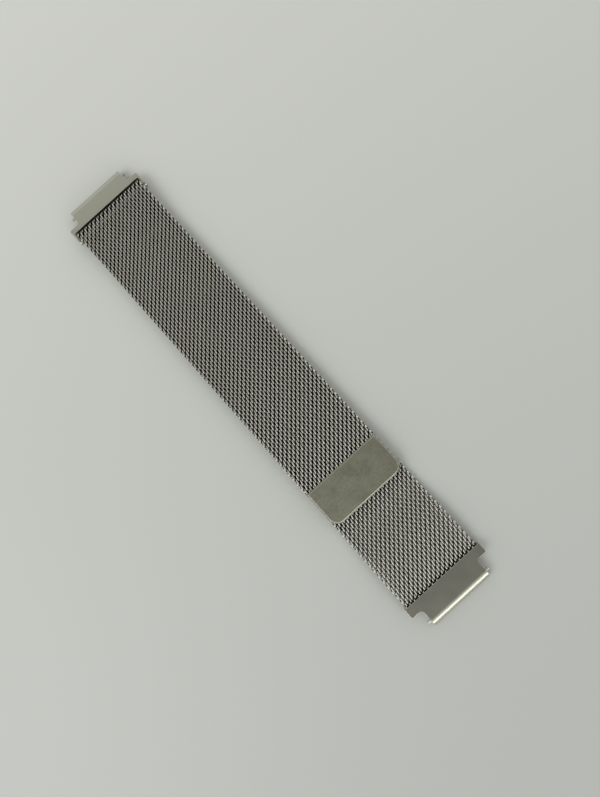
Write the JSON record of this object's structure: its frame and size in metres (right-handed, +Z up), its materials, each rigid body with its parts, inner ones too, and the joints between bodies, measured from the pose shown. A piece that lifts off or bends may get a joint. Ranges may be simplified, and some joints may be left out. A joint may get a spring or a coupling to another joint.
{
  "type": "watch band",
  "caption": "Milanese mesh watch band fastened as a loop and laid flat: woven steel strip, folded through a slotted connector and held by a magnetic clasp.",
  "frame": {"origin": "centre of the band's length and width, on the table that it lies on", "axes": "+X along the band from the loop connector to the fixed connector, +Y across it, +Z up from the table"},
  "size_m": [0.1396, 0.0238, 0.0039],
  "materials": {
    "mesh_steel": "polished stainless wire, woven and rolled",
    "connector_steel": "satin",
    "bar_steel": "polished",
    "clasp_steel": "satin with polished bevels",
    "magnet_nickel": "nickel plate",
    "spring_bar_steel": "turned"
  },
  "bodies": {
    "under_clasp": {"mesh_under_clasp": "mesh_steel"},
    "lower_01": {"mesh_lower_01": "mesh_steel"},
    "lower_02": {"mesh_lower_02": "mesh_steel"},
    "lower_03": {"mesh_lower_03": "mesh_steel"},
    "lower_04": {"mesh_lower_04": "mesh_steel"},
    "lower_05": {"mesh_lower_05": "mesh_steel"},
    "lower_06": {"mesh_lower_06": "mesh_steel"},
    "lower_07": {"mesh_lower_07": "mesh_steel"},
    "lower_08": {"mesh_lower_08": "mesh_steel"},
    "lower_09": {"mesh_lower_09": "mesh_steel"},
    "lower_10": {"mesh_lower_10": "mesh_steel"},
    "lower_11": {"mesh_lower_11": "mesh_steel"},
    "loop_end": {"mesh_loop_strip": "mesh_steel", "mesh_fold": "mesh_steel"},
    "upper_01": {"mesh_upper_01": "mesh_steel"},
    "upper_02": {"mesh_upper_02": "mesh_steel"},
    "upper_03": {"mesh_upper_03": "mesh_steel"},
    "upper_04": {"mesh_upper_04": "mesh_steel"},
    "upper_05": {"mesh_upper_05": "mesh_steel"},
    "upper_06": {"mesh_upper_06": "mesh_steel"},
    "upper_07": {"mesh_upper_07": "mesh_steel"},
    "upper_08": {"mesh_upper_08": "mesh_steel"},
    "upper_09": {"mesh_upper_09": "mesh_steel"},
    "upper_10": {"mesh_upper_10": "mesh_steel"},
    "upper_11": {"mesh_upper_11": "mesh_steel"},
    "upper_12": {"mesh_upper_12": "mesh_steel"},
    "upper_13": {"mesh_upper_13": "mesh_steel"},
    "upper_14": {"mesh_upper_14": "mesh_steel"},
    "clasp": {"mesh_clasp_end": "mesh_steel", "clasp_cover": "clasp_steel", "clasp_back_plate": "clasp_steel", "clasp_magnets": "magnet_nickel"},
    "short_01": {"mesh_short_01": "mesh_steel"},
    "short_02": {"mesh_short_02": "mesh_steel"},
    "fixed_end": {"mesh_short_end": "mesh_steel", "fixed_connector": "connector_steel", "fixed_spring_bar_tube": "spring_bar_steel", "fixed_spring_bar_spring": "spring_bar_steel"},
    "loop_connector": {"loop_connector_frame": "connector_steel", "loop_bar": "bar_steel", "loop_spring_bar_tube": "spring_bar_steel", "loop_spring_bar_spring": "spring_bar_steel"},
    "loop_tip_left": {"loop_spring_bar_tip_left": "spring_bar_steel"},
    "loop_tip_right": {"loop_spring_bar_tip_right": "spring_bar_steel"},
    "fixed_tip_left": {"fixed_spring_bar_tip_left": "spring_bar_steel"},
    "fixed_tip_right": {"fixed_spring_bar_tip_right": "spring_bar_steel"}
  },
  "joints": [
    {"name": "long_side_curl", "type": "hinge", "parent": "under_clasp", "child": "lower_01", "pos_m": [0.02547, 0, 0.0006], "axis": [0, 1, 0], "range_deg": [0, 8]},
    {"name": "long_lower_bend_02", "type": "hinge", "parent": "lower_01", "child": "lower_02", "pos_m": [0.01927, 0, 0.0006], "axis": [0, 1, 0], "range_deg": [0, 8]},
    {"name": "long_lower_bend_03", "type": "hinge", "parent": "lower_02", "child": "lower_03", "pos_m": [0.01307, 0, 0.0006], "axis": [0, 1, 0], "range_deg": [0, 8]},
    {"name": "long_lower_bend_04", "type": "hinge", "parent": "lower_03", "child": "lower_04", "pos_m": [0.00687, 0, 0.0006], "axis": [0, 1, 0], "range_deg": [0, 8]},
    {"name": "long_lower_bend_05", "type": "hinge", "parent": "lower_04", "child": "lower_05", "pos_m": [0.00067, 0, 0.0006], "axis": [0, 1, 0], "range_deg": [0, 8]},
    {"name": "long_lower_bend_06", "type": "hinge", "parent": "lower_05", "child": "lower_06", "pos_m": [-0.00553, 0, 0.0006], "axis": [0, 1, 0], "range_deg": [0, 8]},
    {"name": "long_lower_bend_07", "type": "hinge", "parent": "lower_06", "child": "lower_07", "pos_m": [-0.01173, 0, 0.0006], "axis": [0, 1, 0], "range_deg": [0, 8]},
    {"name": "long_lower_bend_08", "type": "hinge", "parent": "lower_07", "child": "lower_08", "pos_m": [-0.01793, 0, 0.0006], "axis": [0, 1, 0], "range_deg": [0, 8]},
    {"name": "long_lower_bend_09", "type": "hinge", "parent": "lower_08", "child": "lower_09", "pos_m": [-0.02413, 0, 0.0006], "axis": [0, 1, 0], "range_deg": [0, 8]},
    {"name": "long_lower_bend_10", "type": "hinge", "parent": "lower_09", "child": "lower_10", "pos_m": [-0.03033, 0, 0.0006], "axis": [0, 1, 0], "range_deg": [0, 8]},
    {"name": "long_lower_bend_11", "type": "hinge", "parent": "lower_10", "child": "lower_11", "pos_m": [-0.03653, 0, 0.0006], "axis": [0, 1, 0], "range_deg": [0, 8]},
    {"name": "long_lower_bend_12", "type": "hinge", "parent": "lower_11", "child": "loop_end", "pos_m": [-0.04273, 0, 0.0006], "axis": [0, 1, 0], "range_deg": [0, 8]},
    {"name": "clasp_opening", "type": "hinge", "parent": "loop_end", "child": "upper_01", "pos_m": [-0.06117, 0, 0.00329], "axis": [0, -1, 0], "range_deg": [0, 50]},
    {"name": "opening_bend_02", "type": "hinge", "parent": "upper_01", "child": "upper_02", "pos_m": [-0.05501, 0, 0.00253], "axis": [0, -1, 0], "range_deg": [0, 50]},
    {"name": "opening_bend_03", "type": "hinge", "parent": "upper_02", "child": "upper_03", "pos_m": [-0.04884, 0, 0.00195], "axis": [0, -1, 0], "range_deg": [0, 50]},
    {"name": "long_upper_bend_01", "type": "hinge", "parent": "upper_03", "child": "upper_04", "pos_m": [-0.04264, 0, 0.00195], "axis": [0, -1, 0], "range_deg": [0, 8.42]},
    {"name": "long_upper_bend_02", "type": "hinge", "parent": "upper_04", "child": "upper_05", "pos_m": [-0.03644, 0, 0.00195], "axis": [0, -1, 0], "range_deg": [0, 8.42]},
    {"name": "long_upper_bend_03", "type": "hinge", "parent": "upper_05", "child": "upper_06", "pos_m": [-0.03024, 0, 0.00195], "axis": [0, -1, 0], "range_deg": [0, 8.42]},
    {"name": "long_upper_bend_04", "type": "hinge", "parent": "upper_06", "child": "upper_07", "pos_m": [-0.02404, 0, 0.00195], "axis": [0, -1, 0], "range_deg": [0, 8.42]},
    {"name": "long_upper_bend_05", "type": "hinge", "parent": "upper_07", "child": "upper_08", "pos_m": [-0.01784, 0, 0.00195], "axis": [0, -1, 0], "range_deg": [0, 8.42]},
    {"name": "long_upper_bend_06", "type": "hinge", "parent": "upper_08", "child": "upper_09", "pos_m": [-0.01164, 0, 0.00195], "axis": [0, -1, 0], "range_deg": [0, 8.42]},
    {"name": "long_upper_bend_07", "type": "hinge", "parent": "upper_09", "child": "upper_10", "pos_m": [-0.00544, 0, 0.00195], "axis": [0, -1, 0], "range_deg": [0, 8.42]},
    {"name": "long_upper_bend_08", "type": "hinge", "parent": "upper_10", "child": "upper_11", "pos_m": [0.00076, 0, 0.00195], "axis": [0, -1, 0], "range_deg": [0, 8.42]},
    {"name": "long_upper_bend_09", "type": "hinge", "parent": "upper_11", "child": "upper_12", "pos_m": [0.00696, 0, 0.00195], "axis": [0, -1, 0], "range_deg": [0, 8.42]},
    {"name": "long_upper_bend_10", "type": "hinge", "parent": "upper_12", "child": "upper_13", "pos_m": [0.01316, 0, 0.00195], "axis": [0, -1, 0], "range_deg": [0, 8.42]},
    {"name": "long_upper_bend_11", "type": "hinge", "parent": "upper_13", "child": "upper_14", "pos_m": [0.01936, 0, 0.00195], "axis": [0, -1, 0], "range_deg": [0, 8.42]},
    {"name": "long_upper_bend_12", "type": "hinge", "parent": "upper_14", "child": "clasp", "pos_m": [0.02556, 0, 0.00195], "axis": [0, -1, 0], "range_deg": [0, 8.42]},
    {"name": "short_side_curl", "type": "hinge", "parent": "under_clasp", "child": "short_01", "pos_m": [0.04407, 0, 0.0006], "axis": [0, -1, 0], "range_deg": [0, 20]},
    {"name": "short_bend_02", "type": "hinge", "parent": "short_01", "child": "short_02", "pos_m": [0.05021, 0, 0.00146], "axis": [0, -1, 0], "range_deg": [0, 20]},
    {"name": "short_bend_03", "type": "hinge", "parent": "short_02", "child": "fixed_end", "pos_m": [0.0564, 0, 0.00168], "axis": [0, -1, 0], "range_deg": [0, 20]},
    {"name": "loop_connector_swivel", "type": "hinge", "parent": "loop_end", "child": "loop_connector", "pos_m": [-0.06133, 0, 0.00195], "axis": [0, 1, 0], "range_deg": [0, 60]},
    {"name": "loop_tip_left_press", "type": "slide", "parent": "loop_connector", "child": "loop_tip_left", "axis": [0, 1, 0], "range_m": [0, 0.0009], "stiffness_N_per_m": 1000, "springref_m": -0.002, "deforming": ["loop_spring_bar_spring"]},
    {"name": "loop_tip_right_press", "type": "slide", "parent": "loop_connector", "child": "loop_tip_right", "axis": [0, -1, 0], "range_m": [0, 0.0009], "stiffness_N_per_m": 1000, "springref_m": -0.002, "deforming": ["loop_spring_bar_spring"]},
    {"name": "fixed_tip_left_press", "type": "slide", "parent": "fixed_end", "child": "fixed_tip_left", "axis": [0, 1, 0], "range_m": [0, 0.0009], "stiffness_N_per_m": 1000, "springref_m": -0.002, "deforming": ["fixed_spring_bar_spring"]},
    {"name": "fixed_tip_right_press", "type": "slide", "parent": "fixed_end", "child": "fixed_tip_right", "axis": [0, -1, 0], "range_m": [0, 0.0009], "stiffness_N_per_m": 1000, "springref_m": -0.002, "deforming": ["fixed_spring_bar_spring"]}
  ],
  "couplings": [
    {"joint": "long_lower_bend_02", "follows": "long_side_curl", "ratio": 1},
    {"joint": "long_lower_bend_03", "follows": "long_side_curl", "ratio": 1},
    {"joint": "long_lower_bend_04", "follows": "long_side_curl", "ratio": 1},
    {"joint": "long_lower_bend_05", "follows": "long_side_curl", "ratio": 1},
    {"joint": "long_lower_bend_06", "follows": "long_side_curl", "ratio": 1},
    {"joint": "long_lower_bend_07", "follows": "long_side_curl", "ratio": 1},
    {"joint": "long_lower_bend_08", "follows": "long_side_curl", "ratio": 1},
    {"joint": "long_lower_bend_09", "follows": "long_side_curl", "ratio": 1},
    {"joint": "long_lower_bend_10", "follows": "long_side_curl", "ratio": 1},
    {"joint": "long_lower_bend_11", "follows": "long_side_curl", "ratio": 1},
    {"joint": "long_lower_bend_12", "follows": "long_side_curl", "ratio": 1},
    {"joint": "opening_bend_02", "follows": "clasp_opening", "ratio": 1},
    {"joint": "opening_bend_03", "follows": "clasp_opening", "ratio": 1},
    {"joint": "long_upper_bend_01", "follows": "long_side_curl", "ratio": 1.04},
    {"joint": "long_upper_bend_02", "follows": "long_side_curl", "ratio": 1.04},
    {"joint": "long_upper_bend_03", "follows": "long_side_curl", "ratio": 1.04},
    {"joint": "long_upper_bend_04", "follows": "long_side_curl", "ratio": 1.04},
    {"joint": "long_upper_bend_05", "follows": "long_side_curl", "ratio": 1.04},
    {"joint": "long_upper_bend_06", "follows": "long_side_curl", "ratio": 1.04},
    {"joint": "long_upper_bend_07", "follows": "long_side_curl", "ratio": 1.04},
    {"joint": "long_upper_bend_08", "follows": "long_side_curl", "ratio": 1.04},
    {"joint": "long_upper_bend_09", "follows": "long_side_curl", "ratio": 1.04},
    {"joint": "long_upper_bend_10", "follows": "long_side_curl", "ratio": 1.04},
    {"joint": "long_upper_bend_11", "follows": "long_side_curl", "ratio": 1.04},
    {"joint": "long_upper_bend_12", "follows": "long_side_curl", "ratio": 0.645},
    {"joint": "short_bend_02", "follows": "short_side_curl", "ratio": 1},
    {"joint": "short_bend_03", "follows": "short_side_curl", "ratio": 1}
  ]
}
